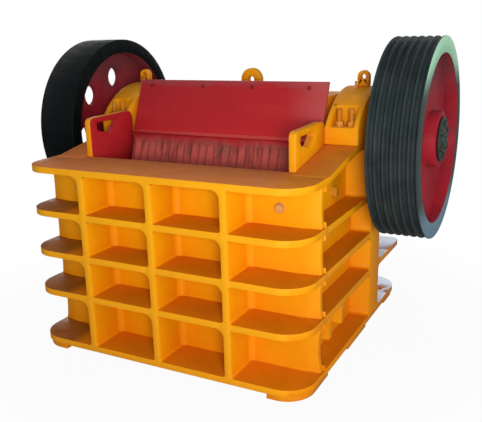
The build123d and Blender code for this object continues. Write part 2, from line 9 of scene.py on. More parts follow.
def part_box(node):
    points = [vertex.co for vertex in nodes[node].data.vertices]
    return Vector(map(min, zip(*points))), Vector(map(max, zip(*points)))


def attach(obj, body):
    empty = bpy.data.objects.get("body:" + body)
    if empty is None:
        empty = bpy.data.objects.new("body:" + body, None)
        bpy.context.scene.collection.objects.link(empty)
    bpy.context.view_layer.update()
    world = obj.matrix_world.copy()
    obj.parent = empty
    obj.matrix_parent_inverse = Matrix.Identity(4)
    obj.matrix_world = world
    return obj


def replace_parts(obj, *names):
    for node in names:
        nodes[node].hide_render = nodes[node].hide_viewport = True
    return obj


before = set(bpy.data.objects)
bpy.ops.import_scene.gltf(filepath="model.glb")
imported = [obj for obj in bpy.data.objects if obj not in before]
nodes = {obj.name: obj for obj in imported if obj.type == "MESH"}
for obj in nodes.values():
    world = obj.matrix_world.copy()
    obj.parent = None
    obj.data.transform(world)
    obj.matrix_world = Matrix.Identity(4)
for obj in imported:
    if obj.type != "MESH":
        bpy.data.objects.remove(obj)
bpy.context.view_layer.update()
scene = bpy.context.scene

# Places read from the CAD model
front_low, front_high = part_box("front_wall")
rear_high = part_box("rear_wall")[1]
pulley_low, pulley_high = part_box("belt_pulley")
flywheel_low, flywheel_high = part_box("flywheel")
guard_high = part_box("guard_plate")[1]
housing_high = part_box("right_bearing_housing")[1]
FRONT_Y = front_low.y
SHAFT_Y = (pulley_low.y + pulley_high.y) / 2
SHAFT_Z = (pulley_low.z + pulley_high.z) / 2
TOP_Z = front_high.z
PULLEY_RADIUS = (pulley_high.z - pulley_low.z) / 2
FLYWHEEL_RADIUS = (flywheel_high.z - flywheel_low.z) / 2


def srgb(red, green, blue):
    """A colour given as 0-255 screen values, as linear values with alpha."""
    linear = [c / 12.92 if c <= 0.04045 else ((c + 0.055) / 1.055) ** 2.4 for c in (red / 255, green / 255, blue / 255)]
    return (*linear, 1.0)


# ---- camera

def make_camera():
    yaw, pitch, roll = math.radians(27.905), math.radians(15.535), math.radians(-1.524)
    forward = Vector((-math.sin(yaw) * math.cos(pitch), math.cos(yaw) * math.cos(pitch), -math.sin(pitch)))
    right = Vector((math.cos(yaw), math.sin(yaw), 0))
    up = right.cross(forward)
    rolled_right = right * math.cos(roll) + up * math.sin(roll)
    rolled_up = up * math.cos(roll) - right * math.sin(roll)
    data = bpy.data.cameras.new("camera")
    data.lens = 49.869
    data.sensor_width = 36.0
    data.shift_x = 0.00266
    data.shift_y = 0.00744
    data.clip_end = 200
    camera = bpy.data.objects.new("camera", data)
    scene.collection.objects.link(camera)
    rotation = Matrix((rolled_right, rolled_up, -forward)).transposed().to_4x4()
    camera.matrix_world = Matrix.Translation((1.566, FRONT_Y - 2.153, 1.440)) @ rotation
    scene.camera = camera


make_camera()


# ---- node helpers

class Tree:
    """Short calls for building one material's node tree."""

    def __init__(self, name):
        self.material = bpy.data.materials.new(name)
        self.material.use_nodes = True
        self.nodes = self.material.node_tree.nodes
        self.links = self.material.node_tree.links
        self.shader = self.nodes["Principled BSDF"]
        self.place = self.nodes.new("ShaderNodeTexCoord").outputs["Object"]
        self.geometry = self.nodes.new("ShaderNodeNewGeometry")

    def put(self, value, socket):
        if isinstance(value, bpy.types.NodeSocket):
            self.links.new(value, socket)
        else:
            socket.default_value = value

    def noise(self, scale, detail=3.0, roughness=0.55, stretch=None, distortion=0.0):
        node = self.nodes.new("ShaderNodeTexNoise")
        node.inputs["Scale"].default_value = scale
        node.inputs["Detail"].default_value = detail
        node.inputs["Roughness"].default_value = roughness
        node.inputs["Distortion"].default_value = distortion
        self.links.new(self.stretched(stretch) if stretch else self.place, node.inputs["Vector"])
        return node.outputs["Fac"]

    def stretched(self, scale):
        node = self.nodes.new("ShaderNodeMapping")
        node.inputs["Scale"].default_value = scale
        self.links.new(self.place, node.inputs["Vector"])
        return node.outputs["Vector"]

    def ramp(self, value, low, high, smooth=True):
        node = self.nodes.new("ShaderNodeMapRange")
        node.interpolation_type = "SMOOTHSTEP" if smooth else "LINEAR"
        node.inputs["From Min"].default_value = low
        node.inputs["From Max"].default_value = high
        self.links.new(value, node.inputs["Value"])
        return node.outputs["Result"]

    def span(self, value, low, high, to_low, to_high):
        node = self.nodes.new("ShaderNodeMapRange")
        for name, number in (("From Min", low), ("From Max", high), ("To Min", to_low), ("To Max", to_high)):
            node.inputs[name].default_value = number
        self.links.new(value, node.inputs["Value"])
        return node.outputs["Result"]

    def math(self, operation, first, second=0.0):
        node = self.nodes.new("ShaderNodeMath")
        node.operation = operation
        self.put(first, node.inputs[0])
        self.put(second, node.inputs[1])
        return node.outputs[0]

    def mix(self, factor, first, second, blend="MIX"):
        node = self.nodes.new("ShaderNodeMix")
        node.data_type = "RGBA"
        node.blend_type = blend
        self.put(factor, node.inputs[0])
        self.put(first, node.inputs[6])
        self.put(second, node.inputs[7])
        return node.outputs[2]

    def axis(self, name, source=None):
        node = self.nodes.new("ShaderNodeSeparateXYZ")
        self.links.new(source or self.place, node.inputs[0])
        return node.outputs[name]

    def normal_axis(self, name):
        """The surface's direction along an axis of the object, which turns with it."""
        node = self.nodes.new("ShaderNodeTexCoord")
        return self.axis(name, node.outputs["Normal"])

    def corners(self, distance):
        """1 in tight corners, 0 in the open."""
        node = self.nodes.new("ShaderNodeAmbientOcclusion")
        node.samples = 6
        node.inputs["Distance"].default_value = distance
        return self.math("SUBTRACT", 1.0, node.outputs["AO"])

    def edges(self, radius):
        """1 along the edges of the solid, 0 on its faces."""
        bevel = self.nodes.new("ShaderNodeBevel")
        bevel.samples = 4
        bevel.inputs["Radius"].default_value = radius
        dot = self.nodes.new("ShaderNodeVectorMath")
        dot.operation = "DOT_PRODUCT"
        self.links.new(bevel.outputs["Normal"], dot.inputs[0])
        self.links.new(self.geometry.outputs["Normal"], dot.inputs[1])
        return self.ramp(self.math("SUBTRACT", 1.0, dot.outputs["Value"]), 0.01, 0.12)

    def bump(self, height, distance, strength=1.0, normal=None):
        node = self.nodes.new("ShaderNodeBump")
        node.inputs["Distance"].default_value = distance
        node.inputs["Strength"].default_value = strength
        self.links.new(height, node.inputs["Height"])
        if normal is not None:
            self.links.new(normal, node.inputs["Normal"])
        return node.outputs["Normal"]

    def finish(self, colour, roughness, normal=None, metallic=0.0, **numbers):
        self.put(colour, self.shader.inputs["Base Color"])
        self.put(roughness, self.shader.inputs["Roughness"])
        self.put(metallic, self.shader.inputs["Metallic"])
        if normal is not None:
            self.links.new(normal, self.shader.inputs["Normal"])
        for name, number in numbers.items():
            self.shader.inputs[name.replace("_", " ")].default_value = number
        return self.material


def paint_tones(t, colour, deep, chipped, dust, wear, dust_amount, low_shade_share=0.45):
    """Enamel's colour and roughness: soft mottling, painted shade in the corners and towards the bottom, rubbed edges
    and dust on what faces up.
    """
    broad = t.noise(1.7, 2.0)
    fine = t.noise(14.0, 4.0, 0.6)
    tone = t.mix(t.span(broad, 0.3, 0.7, 0.0, 0.18), colour, deep)
    tone = t.mix(t.span(fine, 0.45, 0.75, 0.0, 0.14), tone, deep)
    # Painted shade: the colour goes to the deep tone towards the bottom.
    tone = t.mix(t.span(t.axis("Z"), 0.70, 0.08, 0.0, low_shade_share), tone, deep)
    # Painted shade: the colour goes to the deep tone in tight corners.
    tone = t.mix(t.span(t.corners(0.10), 0.15, 0.85, 0.0, 0.5), tone, deep)
    streak = t.noise(9.0, 4.0, 0.6, stretch=(1.0, 1.0, 0.12))
    tone = t.mix(t.math("MULTIPLY", t.ramp(streak, 0.62, 0.8), 0.22), tone, deep)
    upward = t.ramp(t.axis("Z", t.geometry.outputs["Normal"]), 0.55, 0.95)
    settled = t.math("MULTIPLY", upward, t.ramp(t.noise(6.0, 5.0, 0.65), 0.38, 0.7))
    tone = t.mix(t.math("MULTIPLY", settled, dust_amount), tone, dust)
    rubbed = t.math("MULTIPLY", t.edges(0.004), t.ramp(t.noise(38.0, 5.0, 0.7), 0.58, 0.68))
    scratched = t.ramp(t.noise(55.0, 6.0, 0.75, stretch=(1.0, 1.0, 0.35)), 0.71, 0.75)
    worn = t.math("MAXIMUM", rubbed, t.math("MULTIPLY", scratched, 0.4))
    tone = t.mix(t.math("MULTIPLY", worn, wear), tone, chipped)
    rough = t.span(t.noise(22.0, 4.0, 0.6), 0.3, 0.7, 0.42, 0.6)
    rough = t.math("ADD", rough, t.math("MULTIPLY", settled, 0.2))
    return tone, rough


def paint(name, colour, deep, chipped, dust, coat=0.05, wear=0.5, dust_amount=0.25, specular=0.22):
    """Gloss enamel on a casting."""
    t = Tree(name)
    tone, rough = paint_tones(t, colour, deep, chipped, dust, wear, dust_amount)
    cast = t.bump(t.noise(26.0, 3.0), 0.0022, 0.6)
    peel = t.bump(t.noise(320.0, 2.0), 0.00035, 0.5, cast)
    return t.finish(tone, rough, peel, Coat_Weight=coat, Coat_Roughness=0.14, Specular_IOR_Level=specular)


YELLOW = (srgb(250, 168, 4), srgb(208, 106, 2), srgb(120, 70, 30), srgb(196, 124, 50))
RED = (srgb(192, 36, 42), srgb(140, 20, 30), srgb(92, 70, 68), srgb(160, 88, 86))
yellow = paint("yellow_enamel", *YELLOW, wear=0.35)
red = paint("red_enamel", *RED, wear=0.4, coat=0.05, specular=0.22)


def wall_enamel():
    """The yellow of the walls, browner on what faces up (painted shade, partly dust) or down (painted shade), with
    painted shade in tight corners, a painted highlight on the front faces, a painted reflection on the top flange and
    the rear outer fins, and the sheen of the sky behind the shaft.
    """
    t = Tree("wall_enamel")
    tone, rough = paint_tones(t, *YELLOW, 0.35, 0.0)
    height = t.axis("Z")
    facing_z = t.axis("Z", t.geometry.outputs["Normal"])
    upward = t.ramp(facing_z, 0.6, 0.95)
    ragged = t.span(t.noise(7.0, 5.0, 0.65), 0.3, 0.7, 0.8, 1.0)
    # Faces turned up go browner, darkest at the left end: painted shade of the tops, partly settled dust.
    tops_shade_and_dust = t.mix(t.ramp(t.axis("X"), -0.42, -0.50), srgb(212, 110, 8), srgb(124, 60, 12))
    # The top flange's upward faces go pinkish brown: painted shade with a painted reflection of the red guard, partly
    # dust.
    flange_shade_reflection_and_dust = t.mix(t.ramp(t.axis("X"), 0.45, 0.6), srgb(212, 120, 72), srgb(222, 128, 42))
    tops_shade_and_dust = t.mix(t.ramp(height, TOP_Z - 0.03, TOP_Z - 0.01), tops_shade_and_dust, flange_shade_reflection_and_dust)
    tone = t.mix(t.math("MULTIPLY", t.math("MULTIPLY", upward, ragged), 0.9), tone, tops_shade_and_dust)
    # Front faces at the front plane go a lighter yellow: a painted highlight.
    nose_highlight = t.math("MULTIPLY", t.ramp(t.axis("Y"), FRONT_Y + 0.02, FRONT_Y + 0.004), t.math("SUBTRACT", 1.0, upward))
    tone = t.mix(t.math("MULTIPLY", nose_highlight, 0.35), tone, srgb(255, 188, 40))
    # Faces turned down go dark brown: painted shade.
    downward = t.ramp(facing_z, -0.25, -0.7)
    tone = t.mix(t.math("MULTIPLY", downward, 0.75), tone, srgb(128, 62, 6))
    # Tight corners go dark brown: painted shade.
    tone = t.mix(t.span(t.corners(0.025), 0.35, 0.95, 0.0, 0.5), tone, srgb(140, 66, 4))
    outer = t.ramp(t.math("ABSOLUTE", t.axis("X")), 0.46, 0.52)
    # The rear outer fins go greyish mauve: a painted reflection of the sky, partly dirt.
    fin_glare_and_dirt = t.math("MULTIPLY", t.ramp(t.math("ABSOLUTE", t.axis("X")), 0.60, 0.68), t.ramp(t.axis("Y"), 0.34, 0.55))
    tone = t.mix(t.math("MULTIPLY", fin_glare_and_dirt, 0.6), tone, srgb(134, 104, 100))
    behind = t.math("MULTIPLY", t.ramp(t.axis("Y"), SHAFT_Y + 0.05, SHAFT_Y + 0.15), outer)
    low = t.math("LESS_THAN", height, 0.8)
    grazing = t.nodes.new("ShaderNodeLayerWeight")
    grazing.inputs["Blend"].default_value = 0.5
    sheen = t.math("MULTIPLY", upward, t.ramp(grazing.outputs["Facing"], 0.4, 0.65))
    sheen = t.math("MULTIPLY", t.math("MULTIPLY", sheen, behind), low)
    tone = t.mix(t.math("MULTIPLY", sheen, 0.98), tone, srgb(214, 226, 240))
    cast = t.bump(t.noise(26.0, 3.0), 0.0022, 0.6)
    peel = t.bump(t.noise(320.0, 2.0), 0.00035, 0.5, cast)
    return t.finish(tone, rough, peel, t.math("MULTIPLY", sheen, 0.9), Coat_Weight=0.0, Specular_IOR_Level=0.12)


def cheek_enamel(name, inner_side, node, hole_share):
    """Red on the face to the chamber, yellow on the edges and the outer face, and more or less red in the hole."""
    t = Tree(name)
    low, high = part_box(node)
    yellow_tone, rough = paint_tones(t, *YELLOW, 0.35, 0.2)
    red_tone = paint_tones(t, *RED, 0.5, 0.2)[0]
    inner = t.math("GREATER_THAN", t.math("MULTIPLY", t.normal_axis("X"), inner_side), 0.6)
    edge_wall = t.math("LESS_THAN", t.math("ABSOLUTE", t.normal_axis("X")), 0.4)
    behind_front_edge = t.math("GREATER_THAN", t.axis("Y"), low.y + 0.03)
    below_top_edge = t.math("LESS_THAN", t.axis("Z"), high.z - 0.02)
    before_rear_edge = t.math("LESS_THAN", t.axis("Y"), low.y + 0.24)
    inside = t.math("MULTIPLY", behind_front_edge, below_top_edge)
    inside = t.math("MULTIPLY", inside, before_rear_edge)
    inner = t.math("MAXIMUM", inner, t.math("MULTIPLY", t.math("MULTIPLY", edge_wall, inside), hole_share))
    cast = t.bump(t.noise(26.0, 3.0), 0.0022, 0.6)
    return t.finish(t.mix(inner, yellow_tone, red_tone), rough, cast, Coat_Weight=0.05, Specular_IOR_Level=0.25)


def dusty_red(name, start, full):
    """Red paint that turns to mauve stone dust below a height, with smudges and upright strokes, and painted light on
    the faces turned up and low down.
    """
    t = Tree(name)
    tone, rough = paint_tones(t, *RED, 0.4, 0.0)
    height = t.axis("Z")
    ragged = t.math("ADD", height, t.span(t.noise(8.0, 5.0, 0.65), 0.3, 0.7, -0.02, 0.02))
    top_edge = t.math("MULTIPLY", t.ramp(ragged, guard_high.z - 0.035, guard_high.z - 0.005), 0.6)
    tone = t.mix(top_edge, tone, srgb(158, 76, 82))
    right_edge = t.math("MULTIPLY", t.ramp(t.axis("X"), 0.30, 0.50), t.ramp(height, 0.98, 1.08))
    tone = t.mix(t.math("MULTIPLY", right_edge, 0.55), tone, srgb(196, 100, 100))
    streak = t.ramp(t.noise(5.0, 4.0, 0.6, stretch=(0.25, 1.0, 1.6)), 0.5, 0.75)
    tone = t.mix(t.math("MULTIPLY", streak, 0.3), tone, srgb(200, 66, 62))
    # Faces turned up go a lighter red: painted light that cancels the shade on the ledge.
    upward = t.ramp(t.axis("Z", t.geometry.outputs["Normal"]), 0.8, 0.95)
    tone = t.mix(upward, tone, srgb(226, 84, 80))
    low = t.span(ragged, start, full, 0.0, 1.0)
    dust = t.mix(t.span(t.noise(10.0, 5.0, 0.65), 0.35, 0.65, 0.0, 1.0), srgb(178, 74, 72), srgb(160, 78, 70))
    # The dust goes lighter towards the bottom: painted light against the shade there.
    dust = t.mix(t.span(height, 0.92, 0.86, 0.0, 0.5), dust, srgb(222, 100, 88))
    smudge = t.ramp(t.noise(11.0, 6.0, 0.7), 0.5, 0.64)
    dust = t.mix(t.math("MULTIPLY", smudge, 0.65), dust, srgb(118, 84, 68))
    stroke = t.ramp(t.noise(30.0, 4.0, 0.7, stretch=(1.0, 0.2, 0.12)), 0.5, 0.64)
    dust = t.mix(t.math("MULTIPLY", stroke, 0.55), dust, srgb(96, 38, 46))
    tone = t.mix(low, tone, dust)
    rough = t.math("MAXIMUM", rough, t.math("MULTIPLY", low, 0.8))
    grain = t.bump(t.noise(150.0, 5.0, 0.7), 0.0006, 0.6, t.bump(t.noise(26.0, 3.0), 0.002, 0.6))
    return t.finish(tone, rough, grain, Coat_Weight=0.0, Specular_IOR_Level=0.2)


def radius_from_shaft(t):
    across = t.math("SUBTRACT", t.axis("Y"), SHAFT_Y)
    above = t.math("SUBTRACT", t.axis("Z"), SHAFT_Z)
    return t.math("SQRT", t.math("ADD", t.math("MULTIPLY", across, across), t.math("MULTIPLY", above, above)))


def wheel_finish(name, outer_x, wheel_radius, rim, machined, rim_dark, rim_light):
    """Black rim with red web and hub, and a bare turned ring on the rim's outer side; the red has painted shade in its
    corners and towards the top, and the ring's colour is a painted reflection.
    """
    t = Tree(name)
    radius = radius_from_shaft(t)
    inner = wheel_radius - rim
    black = t.mix(t.span(t.noise(9.0, 4.0), 0.3, 0.7, 0.0, 1.0), rim_dark, rim_light)
    dirt = t.ramp(t.noise(24.0, 6.0, 0.7), 0.62, 0.74)
    black = t.mix(t.math("MULTIPLY", dirt, 0.2), black, srgb(104, 98, 84))
    crimson = t.mix(t.span(t.noise(7.0, 4.0), 0.3, 0.7, 0.0, 0.6), srgb(168, 38, 50), srgb(120, 30, 42))
    # Painted shade: the red darker in tight corners.
    crimson = t.mix(t.span(t.corners(0.1), 0.2, 0.8, 0.0, 0.6), crimson, srgb(84, 14, 24))
    crimson = t.mix(t.math("MULTIPLY", t.ramp(t.noise(40.0, 6.0, 0.7), 0.62, 0.7), 0.25), crimson, srgb(120, 70, 66))
    # Painted shade: the red darker towards the top of the wheel.
    ragged_height = t.math("ADD", t.axis("Z"), t.span(t.noise(6.0, 4.0), 0.3, 0.7, -0.06, 0.06))
    top_shade = t.ramp(ragged_height, SHAFT_Z + 0.12, SHAFT_Z + 0.34)
    crimson = t.mix(t.math("MULTIPLY", top_shade, 0.7), crimson, srgb(104, 62, 66))
    inside = t.math("LESS_THAN", radius, inner + 0.002)
    tone = t.mix(inside, black, crimson)
    facing = t.math("LESS_THAN", t.math("ABSOLUTE", t.math("SUBTRACT", t.axis("X"), outer_x)), 0.0008)
    ring = t.math("MULTIPLY", t.math("MULTIPLY", facing, t.math("GREATER_THAN", radius, inner + 0.001)), machined)
    turning = t.nodes.new("ShaderNodeTexNoise")
    turning.noise_dimensions = "1D"
    turning.inputs["Scale"].default_value = 900.0
    turning.inputs["Detail"].default_value = 2.0
    t.links.new(radius, turning.inputs["W"])
    # Painted reflection: the turned ring is pale green high up, pale blue low down and dark at the sides.
    height = t.math("DIVIDE", t.math("SUBTRACT", t.axis("Z"), SHAFT_Z), wheel_radius)
    steel = t.mix(t.ramp(height, -0.5, 0.5), srgb(118, 152, 172), srgb(186, 244, 206))
    steel = t.mix(t.ramp(t.math("ABSOLUTE", height), 0.78, 0.45), steel, srgb(62, 72, 72))
    steel = t.mix(t.math("MULTIPLY", turning.outputs["Fac"], 0.3), steel, srgb(90, 104, 100))
    tone = t.mix(ring, tone, steel)
    rough = t.span(t.noise(18.0, 4.0), 0.3, 0.7, 0.4, 0.58)
    cast = t.bump(t.noise(30.0, 3.0), 0.002, 0.5)
    groove_bump = t.bump(turning.outputs["Fac"], 0.0003, 0.3, cast)
    return t.finish(
        tone, rough, groove_bump, t.math("MULTIPLY", ring, 0.35),
        Coat_Weight=0.0, Specular_IOR_Level=0.06
    )


pulley_finish = wheel_finish(
    "pulley_enamel", pulley_high.x, PULLEY_RADIUS, 0.073, 1.0, srgb(40, 50, 52), srgb(56, 66, 67)
)
flywheel_finish = wheel_finish(
    "flywheel_enamel", flywheel_low.x, FLYWHEEL_RADIUS, 0.072, 0.0, srgb(4, 9, 11), srgb(9, 14, 16)
)


def bare_metal(name, light, dark, rough_low, rough_high, metallic, stain, bump_distance, scale=1.0):
    """Bare steel or iron with stains, fine scratches and a cast or turned surface."""
    t = Tree(name)
    tone = t.mix(t.span(t.noise(11.0 * scale, 4.0), 0.3, 0.7, 0.0, 1.0), light, dark)
    spots = t.ramp(t.noise(34.0 * scale, 6.0, 0.72), 0.56, 0.7)
    tone = t.mix(t.math("MULTIPLY", spots, 0.55), tone, stain)
    tone = t.mix(t.span(t.corners(0.03), 0.2, 0.9, 0.0, 0.6), tone, stain)
    rough = t.span(t.noise(48.0 * scale, 4.0), 0.3, 0.7, rough_low, rough_high)
    normal = t.bump(t.noise(120.0 * scale, 4.0, 0.65), bump_distance, 0.7)
    return t.finish(tone, rough, normal, metallic)


steel = bare_metal("bare_steel", srgb(168, 168, 164), srgb(120, 120, 118), 0.3, 0.5, 0.9, srgb(96, 66, 44), 0.0003)
jaw_steel = bare_metal("jaw_steel", srgb(122, 118, 114), srgb(84, 82, 82), 0.45, 0.7, 0.6, srgb(92, 62, 46), 0.0012)
dark_bolt = bare_metal("dark_bolt", srgb(66, 70, 70), srgb(40, 44, 46), 0.35, 0.6, 0.7, srgb(86, 62, 44), 0.0004, 3.0)
black = paint(
    "black_enamel", srgb(44, 58, 50), srgb(26, 34, 32), srgb(120, 118, 112), srgb(110, 104, 90), wear=0.4, specular=0.2
)
left_cheek_finish = cheek_enamel("left_cheek_enamel", 1.0, "left_cheek_plate", 1.0)
right_cheek_finish = cheek_enamel("right_cheek_enamel", -1.0, "right_cheek_plate", 0.25)
guard_finish = dusty_red("guard_enamel", 0.945, 0.905)
moving_jaw_finish = dusty_red("moving_jaw_dust", 0.945, 0.905)
wall_finish = wall_enamel()

finishes = {
    "fixed_jaw_plate": jaw_steel, "toggle_plate": jaw_steel, "shims": steel, "eccentric_shaft": steel,
    "jaw_toggle_seat": steel, "tension_rods": steel, "rod_nuts": steel,
    "left_cheek_plate": left_cheek_finish, "right_cheek_plate": right_cheek_finish,
    "guard_plate": guard_finish, "moving_jaw_plate": moving_jaw_finish,
    "front_wall": wall_finish, "rear_wall": wall_finish, "left_side_wall": wall_finish, "right_side_wall": wall_finish,
    "flywheel": flywheel_finish, "belt_pulley": pulley_finish, "left_shaft_cap": black, "right_shaft_cap": black,
}
for name, node in nodes.items():
    node.data.materials.clear()
    node.data.materials.append(finishes.get(name, yellow))

# Castings and plates get their rounded edges
rounding = {
    "front_wall": 0.004, "rear_wall": 0.004, "left_side_wall": 0.005, "right_side_wall": 0.005,
    "left_bearing_housing": 0.006, "right_bearing_housing": 0.006, "belt_pulley": 0.0025, "flywheel": 0.005,
    "left_cheek_plate": 0.003, "right_cheek_plate": 0.003, "guard_plate": 0.002, "swing_jaw": 0.005,
    "left_lifting_lug": 0.004, "right_lifting_lug": 0.004, "jaw_lifting_lug": 0.004, "foot_pads": 0.003,
    "left_shaft_cap": 0.002, "right_shaft_cap": 0.002, "toggle_block": 0.004, "rod_brackets": 0.003,
    "left_bearing_cover": 0.002, "right_bearing_cover": 0.002, "moving_jaw_plate": 0.002, "fixed_jaw_plate": 0.002,
}
for name, width in rounding.items():
    node = nodes[name]
    weld = node.modifiers.new("weld", "WELD")
    weld.merge_threshold = 0.00002
    bevel = node.modifiers.new("bevel", "BEVEL")
    bevel.width = width
    bevel.segments = 2
    bevel.limit_method = "ANGLE"
    bevel.angle_limit = math.radians(35)
    bevel.harden_normals = True
    bevel.use_clamp_overlap = True
    for face in node.data.polygons:
        face.use_smooth = True


# ---- small pieces

class Pieces:
    """One mesh made of several turned, six-sided or coiled shapes."""

    def __init__(self):
        self.mesh = bmesh.new()

    def turned(self, place, profile, segments=24, start=0.0):
        """A profile of (radius, height) points, turned about the place's own Z."""
        rings = []
        for radius, height in profile:
            if radius < 1e-7:
                rings.append([self.mesh.verts.new(place @ Vector((0, 0, height)))])
                continue
            rings.append([
                self.mesh.verts.new(place @ Vector((
                    radius * math.cos(start + math.tau * i / segments),
                    radius * math.sin(start + math.tau * i / segments),
                    height,
                )))
                for i in range(segments)
            ])
        for low, high in zip(rings, rings[1:]):
            for i in range(segments):
                j = (i + 1) % segments
                corners = [low[i % len(low)], low[j % len(low)], high[j % len(high)], high[i % len(high)]]
                self.mesh.faces.new(list(dict.fromkeys(corners)))

    def washer(self, place, radius, thickness):
        self.turned(place, [
            (0, 0), (radius, 0), (radius, thickness * 0.7), (radius - thickness * 0.3, thickness), (0, thickness),
        ])

    def nut(self, place, radius, height, turn=0.3):
        """A six-sided head with rounded upper corners."""
        self.turned(place, [
            (0, 0), (radius, 0), (radius, height * 0.82), (radius * 0.93, height * 0.95), (radius * 0.8, height),
            (0, height),
        ], 6, turn)

    def thread(self, place, radius, length, pitch, segments=20):
        depth = pitch * 0.35
        profile = [(0, 0)]
        for i in range(int(length / pitch)):
            profile += [(radius - depth, i * pitch), (radius, (i + 0.5) * pitch)]
        end = int(length / pitch) * pitch
        profile += [(radius - depth, end), (radius - depth * 2, end + pitch * 0.5), (0, end + pitch * 0.5)]
        self.turned(place, profile, segments)

    def bolt(self, place, radius, turn=0.3):
        """A bolt head on its washer, for a bolt of this shank radius."""
        self.washer(place, radius * 2.0, radius * 0.35)
        head = place @ Matrix.Translation((0, 0, radius * 0.35))
        self.nut(head, radius * 1.75, radius * 1.25, turn)

    def stud(self, place, radius, length, turn=0.3):
        """A nut on its washer with the threaded end of a stud above it."""
        self.washer(place, radius * 2.0, radius * 0.3)
        self.nut(place @ Matrix.Translation((0, 0, radius * 0.3)), radius * 1.75, radius * 1.7, turn)
        self.thread(place @ Matrix.Translation((0, 0, radius * 2.0)), radius, length - radius * 2.0, radius * 0.22)

    def coil(self, place, radius, wire, length, turns, steps=28, sides=10):
        """A coil spring along the place's own Z, with closed ends."""
        total = int(turns * steps)
        ring_before = None
        for k in range(total + 1):
            share = k / total
            closed = 0.5 / turns
            lift = min(max((share - closed) / (1 - 2 * closed), 0.0), 1.0)
            height = wire + share * wire * 0.8 + lift * (length - 2.8 * wire)
            angle = math.tau * k / steps
            outward = Vector((math.cos(angle), math.sin(angle), 0))
            ring = [
                self.mesh.verts.new(place @ (
                    outward * (radius + wire * math.cos(math.tau * i / sides))
                    + Vector((0, 0, height + wire * math.sin(math.tau * i / sides)))
                ))
                for i in range(sides)
            ]
            if ring_before:
                for i in range(sides):
                    j = (i + 1) % sides
                    self.mesh.faces.new((ring_before[i], ring_before[j], ring[j], ring[i]))
            else:
                self.mesh.faces.new(ring)
            ring_before = ring
        self.mesh.faces.new(ring_before)

    def finish(self, name, material, body):
        bmesh.ops.recalc_face_normals(self.mesh, faces=self.mesh.faces)
        for face in self.mesh.faces:
            face.smooth = True
        for edge in self.mesh.edges:
            edge.smooth = len(edge.link_faces) == 2 and edge.calc_face_angle() < math.radians(32)
        data = bpy.data.meshes.new(name)
        self.mesh.to_mesh(data)
        self.mesh.free()
        data.materials.append(material)
        obj = bpy.data.objects.new(name, data)
        scene.collection.objects.link(obj)
        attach(obj, body)
        return obj


def facing(point, direction):
    """A place at a point whose own Z looks along a direction."""
    return Matrix.Translation(point) @ Vector(direction).to_track_quat("Z", "Y").to_matrix().to_4x4()


def round_places(x, radius, count, side, start=0.0):
    """Places on a circle about the shaft, looking outwards along X."""
    return [
        facing((
            x,
            SHAFT_Y + radius * math.cos(start + math.tau * i / count),
            SHAFT_Z + radius * math.sin(start + math.tau * i / count),
        ), (side, 0, 0))
        for i in range(count)
    ]


painted_bolt = paint(
    "painted_bolts", srgb(226, 150, 36), srgb(150, 84, 20), srgb(96, 84, 72), srgb(170, 130, 84),
    wear=0.9, specular=0.35
)
pale_bolt = paint(
    "washed_bolts", srgb(216, 156, 92), srgb(168, 108, 52), srgb(120, 108, 96), srgb(190, 150, 110),
    wear=0.9, specular=0.3
)
dark_red = paint("red_bolts", srgb(112, 22, 30), srgb(70, 16, 22), srgb(90, 76, 74), srgb(120, 70, 70), wear=0.6)
cap_bolt = bare_metal(
    "cap_bolts", srgb(52, 58, 60), srgb(26, 30, 32), 0.35, 0.6, 0.5, srgb(92, 74, 60), 0.0004, 3.0
)
STUD_RADIUS = 0.0115
STUD_LENGTH = 0.076
CAP_FLANGE = 0.007
CAP_BOSS = 0.042
CAP_BOLT_CIRCLE = 0.072
COVER_BOLT_CIRCLE = 0.147
POCKET_FLOOR_RISE = 0.078
seat_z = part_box("right_side_wall")[1].z
arch_top = housing_high.z
